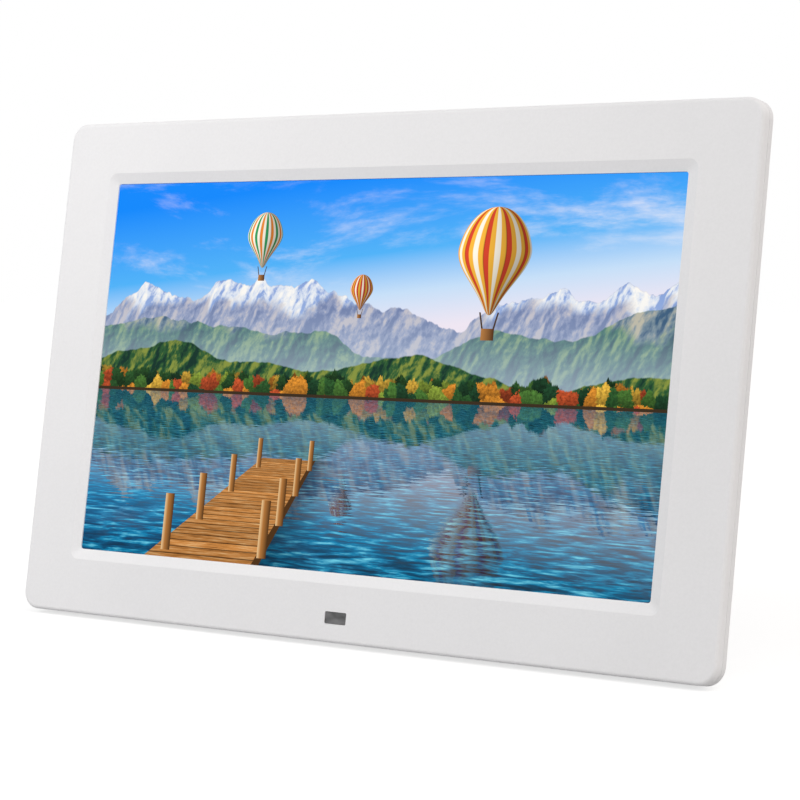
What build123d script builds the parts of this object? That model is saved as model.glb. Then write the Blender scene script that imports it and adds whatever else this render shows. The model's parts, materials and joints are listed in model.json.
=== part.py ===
from build123d import *
import math
import os

# Digital photo frame of the ten-inch class, leaning back on a fold-out leg.
# Every piece is drawn upright: X to the right, Y from the front face to the back, Z up, with the
# origin at the middle of the front face's lower edge. The finished frame is then tipped back by
# its lean and set down on the table. Millimetres and degrees.

# Screen opening and front bezel
screen_width = 222.7
screen_height = 125.3
screen_corner = 0.9
bevel_width = 3.6
bevel_depth = 1.0
bevel_corner = 3.0
lip = 0.4
side_border = 19.9
top_border = 17.7
bottom_border = 18.2
case_corner = 6.0
edge_round = 1.2
wall = 2.0
parting_depth = 3.3
seam = 0.15

# Rear cover: a short straight rim, a sloped flank, a flat back and a raised bay
rim_depth = 5.6
flank = 9.0
back_room = 6.1
bay_rise = 9.5
bay_width = 168.0
bay_bottom = 22.0
bay_top_margin = 26.7
bay_corner = 9.0
bay_round = 2.5
locating_lip = 1.0
lip_play = 0.15
lip_width = 1.2

# Display panel
panel_side = 6.15
panel_end = 8.85
panel_depth = 5.0
panel_play = 0.3
sheet = 0.3
glass_thickness = 1.2
guide_thickness = 2.4

# Fold-out leg and its hinge
lean = 9.4
leg_open = 22.0
leg_width = 43.0
leg_tip_width = 32.0
leg_thickness = 5.4
leg_skin = 2.0
leg_side_gap = 0.8
hinge_sink = 3.8
barrel_radius = 3.4
pin_radius = 1.5
pin_head = 2.5
running_gap = 0.05
seat_gap = 0.02
floor_clear = 0.4
stop_gap = 0.1
foot_height = 5.0
tongue_half = 9.0
tongue_thickness = 2.4
tongue_length = 5.5
base_foot_thickness = 0.8

# Circuit boards
board_thickness = 1.6
board_lift = 0.8
board_foot = 8.0
board_gap = 0.5
board_side_gap = 3.2
board_top_gap = 4.5
board_boss = 2.8
hole_play = 0.15
key_board_height = 11.0
key_board_end = 4.5

# Parts on the main board
processor_size = 20.0
processor_height = 1.4
memory_width = 10.0
memory_length = 14.0
memory_height = 1.1
crystal_length = 10.0
crystal_width = 4.0
crystal_height = 3.2
coil_size = 7.0
coil_height = 4.0
cap_radius = 3.1
cap_height = 5.2
cell_radius = 10.0
cell_thickness = 3.2
holder_wall = 1.25
holder_floor = 1.0
holder_height = 3.6
plug_width = 8.0
plug_depth = 5.0
plug_height = 3.4
plug_inset = 5.0
flex_plug_width = 29.0
flex_plug_height = 2.4
flex_width = 26.0
flex_drop = 14.0
flex_run = 8.0
flex_end = 3.5
flex_thickness = 0.2
ribbon_width = 8.0
lead_radius = 0.7

# Sockets along the main board's right edge
edge_start = 8.8
edge_end = 1.4
inlet_size = 8.4
inlet_height = 6.2
inlet_depth = 10.9
phones_size = 6.8
phones_height = 5.4
phones_depth = 12.4
usb_width = 13.1
usb_height = 5.7
usb_depth = 14.0
card_width = 28.0
card_height = 2.9
card_depth = 28.0
socket_sheet = 0.3

# Keys, one row of seven
key_names = ["menu", "up", "left", "play", "right", "down", "exit"]
key_pitch = 13.0
key_radius = 3.5
key_flange = 4.4
key_gap = 0.25
key_proud = 1.0
key_travel = 0.5
switch_size = 6.0
switch_height = 3.4
plunger_radius = 1.75
plunger_rise = 0.9

# Power slide switch
knob_travel = 2.0
knob_length = 2.4
knob_thickness = 1.6
knob_proud = 1.2

# Small parts
screw_head = 2.6
screw_head_height = 1.9
screw_shank = 1.3
small_head = 1.9
small_head_height = 1.3
small_shank = 1.0
thread_gap = 0.03
speaker_width = 20.0
speaker_height = 40.0
speaker_gap = 10.0
speaker_z = 58.0
speaker_rim = 2.0
speaker_depth = 3.6
magnet_radius = 6.5
magnet_height = 2.0
tab_overlap = 3.5
tab_end = 3.0
tab_half = 5.0
tab_sheet = 1.0
tab_spread = 40.0
case_boss = 3.2
tab_boss = 2.7
keyhole_x = 42.0
keyhole_z = 113.0
keyhole_radius = 4.25
keyhole_slot = 2.25
keyhole_rise = 7.0
ir_width = 8.4
ir_height = 3.8
ir_z = 7.75
ir_screw_x = 9.5
ir_boss = 2.0
ir_board_half = 13.0
ir_board_rise = 4.5
receiver_half = 2.6
receiver_depth = 2.0
receiver_dome = 1.1
fit = 0.1

# Sizes that follow
tilt = math.radians(lean)
swing = math.radians(leg_open)
case_width = screen_width + 2 * (bevel_width + side_border)
case_height = screen_height + 2 * bevel_width + top_border + bottom_border
screen_z = bottom_border + bevel_width + screen_height / 2
panel_width = screen_width + 2 * panel_side
panel_height = screen_height + 2 * panel_end
panel_front = bevel_depth + lip
panel_back = panel_front + panel_depth
glass_front = panel_front + sheet
back_inner = panel_back + back_room
back_depth = back_inner + wall
bay_depth = back_depth + bay_rise
bay_inner = bay_depth - wall
bay_top = case_height - bay_top_margin
bay_half = bay_width / 2
recess_half = leg_width / 2 + leg_side_gap
key_z = bay_top - wall - board_gap - key_board_height / 2
board_rear = back_depth + board_lift
board_front = board_rear - board_thickness
board_right = bay_half - wall - board_gap
board_left = recess_half + wall + board_side_gap
board_width = board_right - board_left
board_bottom = bay_bottom + wall + board_foot
board_top = key_z - key_board_height / 2 - board_top_gap
board_height = board_top - board_bottom
hinge_y = bay_depth - hinge_sink
leg_outer = hinge_sink - 0.2
leg_inner = leg_thickness - leg_outer
floor_gap = barrel_radius + floor_clear
heel = (floor_gap - stop_gap - leg_inner * math.cos(swing)) / math.sin(swing)
recess_floor = hinge_y - floor_gap
recess_top = bay_top - 2 * wall - 2 * board_gap - key_board_height
hinge_z = recess_top - math.hypot(leg_outer, heel) - 0.5
case_lift = base_foot_thickness + rim_depth * math.sin(tilt)
hinge_height = hinge_z * math.cos(tilt) - hinge_y * math.sin(tilt) + case_lift
leg_length = hinge_height / math.cos(swing - tilt)
leg_tip = hinge_z - leg_length
screw_x = panel_width / 2 + 4.5
screw_seat = back_depth - screw_head_height - 0.5
screw_heights = (20.0, case_height / 2, case_height - 20.0)
tab_x = panel_width / 2 + 4.3
tab_heights = (screen_z - tab_spread, screen_z + tab_spread)
speaker_x = bay_half + speaker_gap + speaker_width / 2
mouth_x = bay_half - 0.6
flank_angle = math.atan2(flank, back_depth - rim_depth)


def block(x, y, z):
    """Box between two limits on each axis."""
    size = Box(x[1] - x[0], y[1] - y[0], z[1] - z[0])
    return Pos((x[0] + x[1]) / 2, (y[0] + y[1]) / 2, (z[0] + z[1]) / 2) * size


def post(radius, x, y, z):
    """Round post along the depth, between two depths."""
    return Pos(x, (y[0] + y[1]) / 2, z) * Rot(X=90) * Cylinder(radius, y[1] - y[0])


def bar(radius, x, y, z):
    """Round bar along the width, between two limits."""
    return Pos((x[0] + x[1]) / 2, y, z) * Rot(Y=90) * Cylinder(radius, x[1] - x[0])


def upright(x, y, z):
    """Sketch plane facing the back, with its first axis to the right."""
    return Plane(origin=(x, y, z), x_dir=(1, 0, 0), z_dir=(0, 1, 0))


def rounded(width, height, corner, x, y, z):
    """Rounded rectangle standing upright at one depth."""
    return upright(x, y, z) * RectangleRounded(width, height, corner)


def pane(width, height, corner, x, y, z):
    """Rounded rectangle between two depths."""
    return extrude(rounded(width, height, corner, x, y[0], z), amount=y[1] - y[0])


def both_sides(shape):
    """The shape and its twin on the other side."""
    return [shape, mirror(shape, about=Plane.YZ)]


def group(shapes):
    """Separate like pieces kept under one name."""
    return Compound(children=[s for shape in shapes for s in shape.solids()])


def solid_of(shape):
    """The largest solid of a result."""
    return shape.solids().sort_by(SortBy.VOLUME)[-1]


def cross_recess(x, y, z, span, depth):
    """Cross-shaped driver recess cut in from one depth."""
    ends = (min(y, y + depth), max(y, y + depth))
    level = block((x - span / 2, x + span / 2), ends, (z - 0.3, z + 0.3))
    return level + block((x - 0.3, x + 0.3), ends, (z - span / 2, z + span / 2))


def screw(x, y, z, head, head_height, shank, length, out):
    """Pan screw whose head bears at depth y; out is +1 when the head is to the back."""
    ends = sorted((y, y + out * head_height))
    body = post(head, x, ends, z)
    ends = sorted((y, y - out * length))
    body = body + post(shank, x, ends, z)
    return body - cross_recess(x, y + out * head_height, z, head * 1.2, -out * head_height * 0.5)


def cover_section(depth, inset):
    """Outline of the rear cover at one depth, moved in from its outer face."""
    run = max(0.0, depth - rim_depth)
    side = run * math.tan(flank_angle) + inset
    low = run * math.tan(tilt) + inset
    high = case_height - side
    width = case_width - 2 * side
    corner = max(case_corner - inset, 1.0)
    return rounded(width, high - low, corner, 0, depth, (low + high) / 2)


def case_ring(outer, inner, y):
    """Ring that follows the case outline, between two insets and two depths."""
    middle = case_height / 2
    corner = max(case_corner - outer, 1.0)
    ring = pane(case_width - 2 * outer, case_height - 2 * outer, corner, 0, y, middle)
    corner = max(case_corner - inner, 1.0)
    ends = (y[0] - 1, y[1] + 1)
    return ring - pane(case_width - 2 * inner, case_height - 2 * inner, corner, 0, ends, middle)


def make_front_bezel():
    """White front moulding with the sloped window, its side wall and its screw bosses."""
    body = pane(case_width, case_height, case_corner, 0, (0, parting_depth), case_height / 2)
    front = body.faces().sort_by(Axis.Y)[0]
    body = fillet(front.edges(), edge_round)
    hollow_corner = case_corner - wall
    body -= pane(case_width - 2 * wall, case_height - 2 * wall, hollow_corner, 0,
                 (wall, parting_depth + 1), case_height / 2)
    body -= block((-panel_width / 2 - panel_play, panel_width / 2 + panel_play), (panel_front, wall + 1),
                  (screen_z - panel_height / 2 - panel_play, screen_z + panel_height / 2 + panel_play))
    body -= pane(screen_width, screen_height, screen_corner, 0, (-1, wall + 1), screen_z)
    outer = rounded(screen_width + 2 * bevel_width, screen_height + 2 * bevel_width, bevel_corner,
                    0, 0, screen_z)
    inner = rounded(screen_width, screen_height, screen_corner, 0, bevel_depth, screen_z)
    body -= loft([outer, inner], ruled=True)
    body -= pane(ir_width, ir_height, 0.4, 0, (-1, wall + 1), ir_z)
    for z in screw_heights:
        for side in (-1, 1):
            body += post(case_boss, side * screw_x, (wall - 0.5, panel_back + 2.1), z)
            body -= post(screw_shank + thread_gap, side * screw_x, (wall, panel_back + 3), z)
    for z in tab_heights:
        for side in (-1, 1):
            body += post(tab_boss, side * tab_x, (wall - 0.5, panel_back), z)
            body -= post(small_shank + thread_gap, side * tab_x, (wall, panel_back + 1), z)
    for side in (-1, 1):
        body += post(ir_boss, side * ir_screw_x, (wall - 0.5, panel_back), ir_z)
        body -= post(small_shank + thread_gap, side * ir_screw_x, (wall, panel_back + 1), ir_z)
    return solid_of(body)


def make_ir_window():
    """Smoked window with a flange behind the front wall."""
    lens = pane(ir_width - 2 * fit, ir_height - 2 * fit, 0.35, 0, (0.3, wall), ir_z)
    return lens + pane(ir_width + 3, ir_height + 2.4, 0.8, 0, (wall, wall + 1), ir_z)


def make_panel():
    """Display panel: steel front frame, glass, light guide, lamp strip and tray."""
    rows = (screen_z - panel_height / 2, screen_z + panel_height / 2)
    half = panel_width / 2
    frame = block((-half, half), (panel_front, panel_back), rows)
    frame -= block((-half + sheet, half - sheet), (glass_front, panel_back + 1),
                   (rows[0] + sheet, rows[1] - sheet))
    frame -= block((-screen_width / 2 - 1, screen_width / 2 + 1), (panel_front - 1, glass_front + 1),
                   (screen_z - screen_height / 2 - 1, screen_z + screen_height / 2 + 1))
    inside = half - sheet - fit
    floor = rows[0] + sheet + fit
    ceiling = rows[1] - sheet - fit
    tray_front = glass_front + glass_thickness
    glass = block((-inside, inside), (glass_front, tray_front), (floor, ceiling))
    tray = block((-inside, inside), (tray_front, panel_back), (floor, ceiling))
    tray -= block((-inside + 2, inside - 2), (tray_front - 1, tray_front + guide_thickness),
                  (floor + 2, ceiling - 2))
    guide = block((-inside + 2 + fit, inside - 2 - fit), (tray_front, tray_front + guide_thickness),
                  (floor + 4, ceiling - 2 - fit))
    strip = block((-inside + 6, inside - 6), (tray_front, tray_front + guide_thickness),
                  (floor + 2, floor + 3))
    lamps = 36
    step = (2 * inside - 20) / (lamps - 1)
    for i in range(lamps):
        x = -inside + 10 + i * step
        strip += block((x - 1.5, x + 1.5), (tray_front + 0.4, tray_front + 2.0), (floor + 3, floor + 3.8))
    return {"lcd_frame": frame, "lcd_glass": glass, "backlight_tray": tray, "light_guide": guide,
            "led_strip": solid_of(strip)}


def make_panel_tabs():
    """Four steel tabs and screws that hold the panel in the bezel."""
    tabs = []
    screws = []
    for z in tab_heights:
        tab = block((panel_width / 2 - tab_overlap, tab_x + tab_end), (panel_back, panel_back + tab_sheet),
                    (z - tab_half, z + tab_half))
        tab -= post(small_shank + hole_play, tab_x, (panel_back - 1, panel_back + tab_sheet + 1), z)
        tabs += both_sides(tab)
        for side in (-1, 1):
            screws.append(screw(side * tab_x, panel_back + tab_sheet, z, small_head, small_head_height,
                                small_shank, 4.0, 1))
    for side in (-1, 1):
        screws.append(screw(side * ir_screw_x, panel_back + tab_sheet, ir_z, small_head,
                            small_head_height, small_shank, 4.0, 1))
    return group(tabs), group(screws)


def make_infrared():
    """Receiver behind the smoked window, and its small board."""
    rear = panel_back + tab_sheet
    board = block((-ir_board_half, ir_board_half), (panel_back, rear),
                  (ir_z - ir_board_rise, ir_z + ir_board_rise))
    for side in (-1, 1):
        board -= post(small_shank + hole_play, side * ir_screw_x, (panel_back - 1, rear + 1), ir_z)
    front = panel_back - receiver_depth
    receiver = block((-receiver_half, receiver_half), (front, panel_back),
                     (ir_z - receiver_half, ir_z + receiver_half))
    receiver += Pos(0, front, ir_z) * Sphere(receiver_dome)
    return board, solid_of(receiver)


def cover_bosses():
    """Screw seats inside the cover."""
    seats = []
    for z in screw_heights:
        for side in (-1, 1):
            seats.append(post(4.2, side * screw_x, (panel_back + 2.1, back_inner + 0.5), z))
    for x, z in board_screw_places() + key_screw_places():
        seats.append(post(board_boss, x, (board_rear, bay_inner + 0.5), z))
    return seats


def board_screw_places():
    """Fixing points of the main board."""
    return [(board_left + 4, board_bottom + 4), (board_right - 4, board_bottom + 4),
            (board_left + 4, board_top - 9), (board_right - 9.5, board_top - 4)]


def key_screw_places():
    """Fixing points of the key board."""
    return [(-3.6 * key_pitch, key_z), (3.6 * key_pitch, key_z)]


def key_places():
    """Name and X of every key, left to right."""
    count = len(key_names)
    return [(name, (i - (count - 1) / 2) * key_pitch) for i, name in enumerate(key_names)]


# Heights of the sockets: the room that they leave is shared out between them
slide_size = knob_travel + knob_length + 2.4
edge_room = (board_height - edge_start - edge_end - inlet_size - phones_size
             - usb_width - card_width - slide_size)
inlet_z = board_bottom + edge_start + inlet_size / 2
phones_z = inlet_z + (inlet_size + phones_size) / 2 + 0.235 * edge_room
usb_z = phones_z + (phones_size + usb_width) / 2 + 0.377 * edge_room
card_z = usb_z + (usb_width + card_width) / 2 + 0.292 * edge_room
slide_z = card_z + (card_width + slide_size) / 2 + 0.096 * edge_room
inlet_y = board_rear + inlet_height / 2
phones_y = board_rear + phones_height / 2
slide_y = board_rear + 1.9
flex_x = (board_left + board_right) / 2 - 0.5


def make_rear_cover():
    """Back moulding: flank, flat back, raised bay, leg recess, grilles, keyholes and cut-outs."""
    body = extrude(cover_section(parting_depth, 0), amount=rim_depth - parting_depth)
    body += loft([cover_section(rim_depth, 0), cover_section(back_depth, 0)], ruled=True)
    bay_middle = (bay_bottom + bay_top) / 2
    bay = pane(bay_width, bay_top - bay_bottom, bay_corner, 0, (back_inner, bay_depth), bay_middle)
    bay = fillet(bay.faces().sort_by(Axis.Y)[-1].edges(), bay_round)
    body += bay
    knee = rim_depth - wall * math.tan(flank_angle / 2)
    body -= extrude(cover_section(parting_depth - 1, wall), amount=knee - parting_depth + 1)
    slope_in = cover_section(knee, wall)
    run = (back_inner - knee) * math.tan(flank_angle)
    low = (back_inner - rim_depth) * math.tan(tilt) + wall / math.cos(tilt)
    high = case_height - wall - run
    width = case_width - 2 * (wall + run)
    floor_in = rounded(width, high - low, case_corner - wall, 0, back_inner, (low + high) / 2)
    body -= loft([slope_in, floor_in], ruled=True)
    hollow = pane(bay_width - 2 * wall, bay_top - bay_bottom - 2 * wall, bay_corner - wall, 0,
                  (back_inner - 0.5, bay_inner), bay_middle)
    trough = block((-recess_half - wall, recess_half + wall), (recess_floor - wall, bay_depth),
                   (bay_bottom - 1, recess_top + wall))
    body -= hollow - trough
    body -= block((-recess_half, recess_half), (recess_floor, bay_depth + 1), (bay_bottom - 5, recess_top))
    body += case_ring(wall + lip_play, wall + lip_play + lip_width, (parting_depth - locating_lip, rim_depth))
    body += case_ring(wall / 2, wall + lip_play + lip_width, (parting_depth, rim_depth))
    body -= case_ring(-2.0, seam, (parting_depth, parting_depth + seam))
    for seat in cover_bosses():
        body += seat
    for z in screw_heights:
        for side in (-1, 1):
            body -= post(screw_shank + 0.3, side * screw_x, (panel_back, back_depth + 1), z)
            body -= post(screw_head + 0.3, side * screw_x, (screw_seat, back_depth + 1), z)
    for x, z in board_screw_places() + key_screw_places():
        body -= post(small_shank + thread_gap, x, (board_rear - 1, board_rear + 4.5), z)
    body -= bar(pin_radius + seat_gap, (-recess_half - wall - 1, recess_half + wall + 1), hinge_y, hinge_z)
    for side in (-1, 1):
        ends = sorted((side * (recess_half + wall), side * (recess_half + wall + 2.6)))
        body -= bar(pin_head + 0.3, ends, hinge_y, hinge_z)
    for name, x in key_places():
        body -= post(key_radius + key_gap, x, (bay_inner - 1, bay_depth + 1), key_z)
    for cut in cover_openings():
        body -= cut
    return solid_of(body)


def cover_openings():
    """Grilles, vents, keyholes and the cut-outs for the sockets and the slide switch."""
    cuts = []
    wall_x = (bay_half - wall - 0.05, bay_half + 1)
    skin = (bay_inner - 1, bay_depth + 1)
    for side in (-1, 1):
        x = side * keyhole_x
        for i in range(7):
            z = speaker_z + (i - 3) * 4.4
            cuts.append(pane(12, 1.8, 0.89, side * speaker_x, (back_inner - 1, back_depth + 1), z))
        for i in range(8):
            vent_x = side * (bay_half - 27) + (i - 3.5) * 4.6
            cuts.append(pane(1.8, 24, 0.89, vent_x, skin, bay_bottom + 38))
        cuts.append(post(keyhole_radius, x, skin, keyhole_z))
        cuts.append(post(keyhole_slot, x, skin, keyhole_z + keyhole_rise))
        cuts.append(block((x - keyhole_slot, x + keyhole_slot), skin, (keyhole_z, keyhole_z + keyhole_rise)))
    cuts.append(block(wall_x, (board_rear - 0.15, board_rear + usb_height + 0.15),
                      (usb_z - usb_width / 2 - 0.2, usb_z + usb_width / 2 + 0.2)))
    cuts.append(block(wall_x, (board_rear - 0.15, board_rear + card_height + 0.2),
                      (card_z - card_width / 2 - 0.2, card_z + card_width / 2 + 0.2)))
    cuts.append(bar(3.1, wall_x, inlet_y, inlet_z))
    cuts.append(bar(2.8, wall_x, phones_y, phones_z))
    cuts.append(block(wall_x, (slide_y - knob_thickness / 2 - 0.3, slide_y + knob_thickness / 2 + 0.3),
                      (slide_z - knob_travel / 2 - knob_length / 2 - 0.4,
                       slide_z + knob_travel / 2 + knob_length / 2 + 0.4)))
    return cuts


def make_case_screws():
    """Six screws through the cover into the bezel."""
    seat = screw_seat + seat_gap
    return group([screw(side * screw_x, seat, z, screw_head, screw_head_height, screw_shank, 7.5, 1)
                  for z in screw_heights for side in (-1, 1)])


def make_boards():
    """Main board and key board with their screws."""
    main = block((board_left, board_right), (board_front, board_rear), (board_bottom, board_top))
    end = key_screw_places()[1][0] + key_board_end
    keys = block((-end, end), (board_front, board_rear),
                 (key_z - key_board_height / 2, key_z + key_board_height / 2))
    screws = []
    for x, z in board_screw_places():
        main -= post(small_shank + hole_play, x, (board_front - 1, board_rear + 1), z)
        screws.append(screw(x, board_front, z, small_head, small_head_height, small_shank, 5.5, -1))
    for x, z in key_screw_places():
        keys -= post(small_shank + hole_play, x, (board_front - 1, board_rear + 1), z)
        screws.append(screw(x, board_front, z, small_head, small_head_height, small_shank, 5.5, -1))
    return main, keys, group(screws)


def on_rear(x, z, width, height, thick):
    """Flat part on the back face of a board."""
    return block((x - width / 2, x + width / 2), (board_rear, board_rear + thick),
                 (z - height / 2, z + height / 2))


def on_front(x, z, width, height, thick):
    """Flat part on the front face of a board."""
    return block((x - width / 2, x + width / 2), (board_front - thick, board_front),
                 (z - height / 2, z + height / 2))


def on_board(across, up):
    """Point at a share of the main board's width and height."""
    return board_left + across * board_width, board_bottom + up * board_height


def make_board_parts():
    """Chips, coils, capacitors, clock cell and plug sockets of the main board."""
    cell_x, cell_z = on_board(0.667, 0.609)
    seat = board_front - holder_floor
    round_outside = cell_radius + 0.15 + holder_wall
    holder = post(round_outside, cell_x, (seat, board_front), cell_z)
    ring = post(round_outside, cell_x, (board_front - holder_height, seat), cell_z)
    ring -= post(cell_radius + 0.15, cell_x, (board_front - holder_height - 1, board_front), cell_z)
    cell = post(cell_radius, cell_x, (seat - cell_thickness, seat), cell_z)
    plug_x = board_left + plug_inset + plug_width / 2
    far_x = board_right - plug_inset + 1 - plug_width / 2
    plug = (plug_width, plug_depth, plug_height)
    sockets = [on_front(flex_x, board_bottom + 6, flex_plug_width, plug_depth, flex_plug_height),
               on_front(plug_x, speaker_z, *plug), on_front(plug_x, board_bottom + 14, *plug),
               on_front(far_x, speaker_z, *plug)]
    memory = (memory_width, memory_length, memory_height)
    coil = (coil_size, coil_size, coil_height)
    capacitors = []
    for i in range(4):
        x, z = on_board(0.185 + 0.167 * i, 0.826)
        capacitors.append(post(cap_radius, x, (board_front - cap_height, board_front), z))
    return {
        "processor": on_rear(*on_board(0.28, 0.413), processor_size, processor_size, processor_height),
        "memory_chips": group([on_rear(*on_board(share, 0.185), *memory) for share in (0.24, 0.5)]),
        "clock_crystal": on_rear(*on_board(0.17, 0.62), crystal_length, crystal_width, crystal_height),
        "power_coils": group([on_front(*on_board(0.185, share), *coil) for share in (0.457, 0.587)]),
        "capacitors": group(capacitors),
        "coin_cell_holder": solid_of(holder + ring),
        "coin_cell": cell,
        "plug_sockets": group(sockets),
    }


def make_card_socket():
    """Memory card socket, open to the right."""
    rear = mouth_x - card_depth
    y = (board_rear, board_rear + card_height)
    body = block((rear, mouth_x), y, (card_z - card_width / 2, card_z + card_width / 2))
    return body - block((rear + 3, mouth_x + 1), (y[0] + 0.35, y[1] - 0.25),
                        (card_z - card_width / 2 + 1.6, card_z + card_width / 2 - 1.6))


def make_usb_socket():
    """Metal shell and plastic tongue of the USB socket."""
    rear = mouth_x - usb_depth
    y = (board_rear, board_rear + usb_height)
    z = (usb_z - usb_width / 2, usb_z + usb_width / 2)
    shell = block((rear, mouth_x), y, z)
    inside_y = (y[0] + socket_sheet, y[1] - socket_sheet)
    inside_z = (z[0] + socket_sheet, z[1] - socket_sheet)
    shell -= block((rear + socket_sheet, mouth_x + 1), inside_y, inside_z)
    tongue = block((rear + socket_sheet, rear + 4), inside_y, inside_z)
    tongue += block((rear + 3, mouth_x - 0.9), (y[1] - 2.7, y[1] - 0.86), (usb_z - 5.55, usb_z + 5.55))
    return shell, solid_of(tongue)


def make_phones_jack():
    """Headphone socket with a round collar in the wall."""
    face = bay_half - wall - fit
    rear = face - phones_depth
    body = block((rear, face), (board_rear, board_rear + phones_height),
                 (phones_z - phones_size / 2, phones_z + phones_size / 2))
    body += bar(2.6, (rear + 1, bay_half - 0.3), phones_y, phones_z)
    return solid_of(body - bar(1.8, (rear + 1, bay_half + 1), phones_y, phones_z))


def make_power_inlet():
    """Low-voltage inlet with its centre pin."""
    face = bay_half - wall - fit
    rear = face - inlet_depth
    body = block((rear, face), (board_rear, board_rear + inlet_height),
                 (inlet_z - inlet_size / 2, inlet_z + inlet_size / 2))
    body += bar(2.9, (rear + 1, bay_half - 0.3), inlet_y, inlet_z)
    body -= bar(1.9, (rear + 1.5, bay_half + 1), inlet_y, inlet_z)
    return solid_of(body + bar(0.65, (rear + 1, bay_half - 1.8), inlet_y, inlet_z))


def make_slide_switch():
    """Slide switch body on the board, and its knob at the upper end of its travel."""
    x = (bay_half - wall - 4.6, bay_half - wall - 0.2)
    half = knob_thickness / 2
    reach = knob_travel / 2 + knob_length / 2 + 0.3
    body = block(x, (board_rear, board_rear + 3.8), (slide_z - slide_size / 2, slide_z + slide_size / 2))
    body -= block((x[0] + 1.5, x[1] + 1), (slide_y - half - fit, slide_y + half + fit),
                  (slide_z - reach, slide_z + reach))
    upper = slide_z + knob_travel / 2
    knob = block((x[0] + 1.6, bay_half + knob_proud), (slide_y - half, slide_y + half),
                 (upper - knob_length / 2, upper + knob_length / 2))
    return body, knob


def make_keys():
    """Switch bodies on the key board, and for each key a cap and the plunger under it."""
    top = board_rear + switch_height
    stem = top + plunger_rise
    bodies = []
    moving = {}
    for name, x in key_places():
        body = on_rear(x, key_z, switch_size, switch_size, switch_height)
        bodies.append(body - post(plunger_radius + fit, x, (top - 1.4, top + 1), key_z))
        moving["plunger_" + name] = post(plunger_radius, x, (top - 0.7, stem), key_z)
        cap = post(plunger_radius, x, (stem, bay_inner - 0.2), key_z)
        cap += post(key_flange, x, (bay_inner - 1.2, bay_inner - 0.2), key_z)
        crown = post(key_radius, x, (bay_inner - 0.5, bay_depth + key_proud), key_z)
        crown = fillet(crown.edges().sort_by(Axis.Y)[-1], 0.6)
        moving["key_" + name] = solid_of(cap + crown)
    return group(bodies), moving


def make_speakers():
    """Two thin loudspeakers behind the grilles: frames, cones and magnets."""
    rim = back_inner
    base = rim - speaker_depth
    inside = (speaker_width - 2 * speaker_rim, speaker_height - 2 * speaker_rim, 4.5)
    frame = pane(speaker_width, speaker_height, 6, speaker_x, (base, rim), speaker_z)
    frame -= pane(*inside, speaker_x, (base + 0.8, rim + 1), speaker_z)
    cone = pane(*inside, speaker_x, (base + 2.0, base + 2.5), speaker_z)
    cone += post(magnet_radius - 2.5, speaker_x, (base + 0.8, base + 2.4), speaker_z)
    magnet = post(magnet_radius, speaker_x, (base - magnet_height, base), speaker_z)
    return (group(both_sides(solid_of(frame))), group(both_sides(solid_of(cone))), group(both_sides(magnet)))


def lead(points, radius, bend):
    """Round lead along straight runs joined by bends."""
    path = FilletPolyline(*points, radius=bend)
    return sweep(Plane(origin=path @ 0, z_dir=path % 0) * Circle(radius), path=path)


def make_leads():
    """Flat and round leads between the boards, the panel and the speakers."""
    x = board_left
    z = board_bottom
    line_y = panel_back + 2.2
    plug_y = board_front - plug_height / 2
    flex_low = panel_back + 0.75 * flex_thickness
    flex_high = board_front - flex_plug_height / 2
    rows = [(flex_low, z - flex_drop), (flex_low, z - flex_drop + flex_run), (flex_high, z - 1),
            (flex_high, z + flex_end)]
    path = FilletPolyline(*[(flex_x, y, h) for y, h in rows], radius=1.5)
    ribbon = Plane(origin=path @ 0, x_dir=(1, 0, 0), z_dir=path % 0) * Rectangle(flex_width, flex_thickness)
    flex = sweep(ribbon, path=path)
    ribbon_x = key_screw_places()[1][0] - small_head - 2 - ribbon_width
    key_ribbon = block((ribbon_x, ribbon_x + ribbon_width), (board_front - 0.6, board_front),
                       (board_top - 6, key_z - 1))
    far = -speaker_x + speaker_width / 2
    near = speaker_x - speaker_width / 2
    speaker_y = back_inner - 3.0
    left = lead([(far, speaker_y, speaker_z), (far + 6, speaker_y, speaker_z),
                 (far + 12, line_y, speaker_z), (x - 4, line_y, speaker_z),
                 (x - 0.5, plug_y, speaker_z), (x + plug_inset, plug_y, speaker_z)],
                lead_radius, 1.5)
    right = lead([(near, speaker_y, speaker_z), (board_right + 3, speaker_y, speaker_z),
                  (board_right - 1, plug_y, speaker_z),
                  (board_right - plug_inset + 1, plug_y, speaker_z)], lead_radius, 1.0)
    ir = lead([(7, panel_back + 1, ir_z + 2.5), (7, line_y + 1, ir_z + 2.5), (7, line_y + 1, z - 10),
               (x - 5, line_y + 1, z - 6), (x - 5, plug_y, z + 14),
               (x + plug_inset, plug_y, z + 14)], lead_radius, 1.2)
    return {"panel_flex": flex, "key_ribbon": key_ribbon, "left_speaker_lead": left,
            "right_speaker_lead": right, "ir_lead": ir}


def make_hinge():
    """Steel pin with a head on the right and a clip in a groove on the left."""
    seat = recess_half + wall
    pin = bar(pin_radius, (-seat - 2.2, seat + 0.5), hinge_y, hinge_z)
    pin += bar(pin_head, (seat + seat_gap, seat + 1.2), hinge_y, hinge_z)
    groove = bar(pin_radius + 1, (-seat - 0.7, -seat), hinge_y, hinge_z)
    groove -= bar(1.1, (-seat - 1, seat), hinge_y, hinge_z)
    clip = bar(pin_head, (-seat - 0.65, -seat - 0.05), hinge_y, hinge_z)
    clip -= bar(1.15, (-seat - 1, seat), hinge_y, hinge_z)
    clip -= block((-seat - 1, -seat), (hinge_y - 0.9, hinge_y + 0.9), (hinge_z - 4, hinge_z))
    return solid_of(pin - groove), solid_of(clip)


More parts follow.
